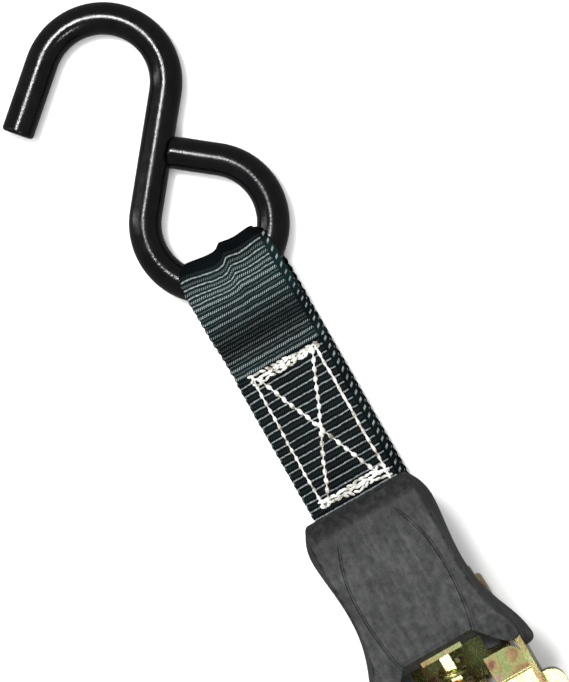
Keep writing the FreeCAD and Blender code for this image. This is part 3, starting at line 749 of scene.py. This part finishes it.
def build_spring(name, direction, r0, r1, radius, wire, turns, tree):
    mesh = bpy.data.meshes.new(name)
    obj = bpy.data.objects.new(name, mesh)
    bpy.context.scene.collection.objects.link(obj)
    modifier = obj.modifiers.new("wind", "NODES")
    modifier.node_group = tree
    sizes = {"Coil Radius": radius * MM, "Turns": turns, "Length": (r1 - r0 - 2 * wire) * MM,
             "Wire Radius": wire * MM}
    for key, value in sizes.items():
        set_input(modifier, key, value)
    plain = baked(obj)
    foot = radial(direction, r0 + wire)
    aim = (radial(direction, r1) - foot).to_track_quat("Z", "Y").to_matrix().to_4x4()
    plain.data.transform(Matrix.Translation(foot) @ aim)
    face_outwards(plain)
    return plain


winder = spring_tree()
drive_foot, drive_head = 27.7, 42.0
drive_spring = build_spring("spring_of_handle", drive_dir, drive_foot, drive_head, 2.9, 0.65, 4.6, winder)
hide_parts("drive_pawl_spring")
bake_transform(drive_spring)
stop_foot, stop_head = 25.0, 31.2
stop_spring = build_spring("spring_of_base", stop_dir, stop_foot, stop_head, 2.5, 0.4, 4.0, winder)
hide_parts("stop_pawl_spring")
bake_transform(stop_spring)


# ------------------------------------------------------------------ finishes on the frame's own pieces
finish_of = {
    "hook_wire": mat_steel, "hook_coating": mat_vinyl, "handle_grip": mat_rubber,
    "base_frame": mat_shaded_base, "handle_frame": mat_frame, "strap_pin": mat_bright,
    "stop_pawl": mat_bright, "drive_pawl": mat_bright,
    "drum_half_upper": mat_frame, "drum_half_lower": mat_frame,
    "ratchet_wheel_left": mat_bright, "ratchet_wheel_right": mat_bright,
    "washer_left": mat_frame, "washer_right": mat_frame,
    "cotter_pin_left": mat_spring, "cotter_pin_right": mat_spring,
}
for node, mat in finish_of.items():
    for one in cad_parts[node].material_slots:
        one.material = mat


# ------------------------------------------------------------------ floor, light and camera
floor_half = 4.0
floor_z = -0.0004                # just under the part, so that no two faces lie in one plane


def build_floor():
    mesh = bpy.data.meshes.new("floor")
    corners = [(x * floor_half, y * floor_half, floor_z) for x, y in ((-1, -1), (1, -1), (1, 1), (-1, 1))]
    mesh.from_pydata(corners, [], [(0, 1, 2, 3)])
    mesh.materials.append(paper_floor())
    obj = bpy.data.objects.new("floor", mesh)
    obj.visible_glossy = False
    bpy.context.scene.collection.objects.link(obj)


def area_light(name, place, size, power, size_y=None, glare=True):
    data = bpy.data.lights.new(name, "AREA")
    data.shape = "RECTANGLE"
    data.size = size
    data.size_y = size_y or size
    data.energy = power
    obj = bpy.data.objects.new(name, data)
    obj.location = place
    obj.rotation_euler = (aim_at - Vector(place)).to_track_quat("-Z", "Y").to_euler()
    obj.visible_glossy = glare
    bpy.context.scene.collection.objects.link(obj)


# right and up as the camera sees them, in the frame's own axes
view_right = Vector((0.494, 0.866, 0.0))
view_up = Vector((-0.868, 0.496, 0.0))
aim_at = Vector((-0.105, 0.002, 0.0))


def from_view(right, up, height):
    place = aim_at + view_right * right + view_up * up
    return (place.x, place.y, height)


def build_light():
    area_light("key", from_view(-0.22, 0.24, 0.98), 0.20, 6.5)
    area_light("fill", from_view(-0.10, 0.12, 1.10), 1.0, 15.0, glare=False)
    area_light("side_card", from_view(0.22, -0.42, 0.95), 0.12, 1.3)
    area_light("strip", from_view(-0.75, 0.1, 0.30), 0.05, 0.8, size_y=0.8)
    world = bpy.data.worlds.new("studio")
    world.use_nodes = True
    world.node_tree.nodes["Background"].inputs["Color"].default_value = (1, 1, 1, 1)
    world.node_tree.nodes["Background"].inputs["Strength"].default_value = 0.22
    bpy.context.scene.world = world


camera_place = Vector((-0.063, 0.0647, 0.938))
camera_back = Vector((0.04462, 0.06633, 0.9968))
camera_right = Vector((0.49416, 0.86581, -0.07972))


def build_camera():
    data = bpy.data.cameras.new("camera")
    data.lens = 208.6
    data.sensor_width = 36.0
    data.clip_end = 20.0
    obj = bpy.data.objects.new("camera", data)
    back = camera_back.normalized()
    right = (camera_right - back * camera_right.dot(back)).normalized()
    up = back.cross(right)
    turn = Matrix((right, up, back)).transposed().to_4x4()
    obj.matrix_world = Matrix.Translation(camera_place) @ turn
    bpy.context.scene.collection.objects.link(obj)
    bpy.context.scene.camera = obj


build_floor()
build_light()
build_camera()
bpy.context.scene.view_settings.view_transform = "Standard"
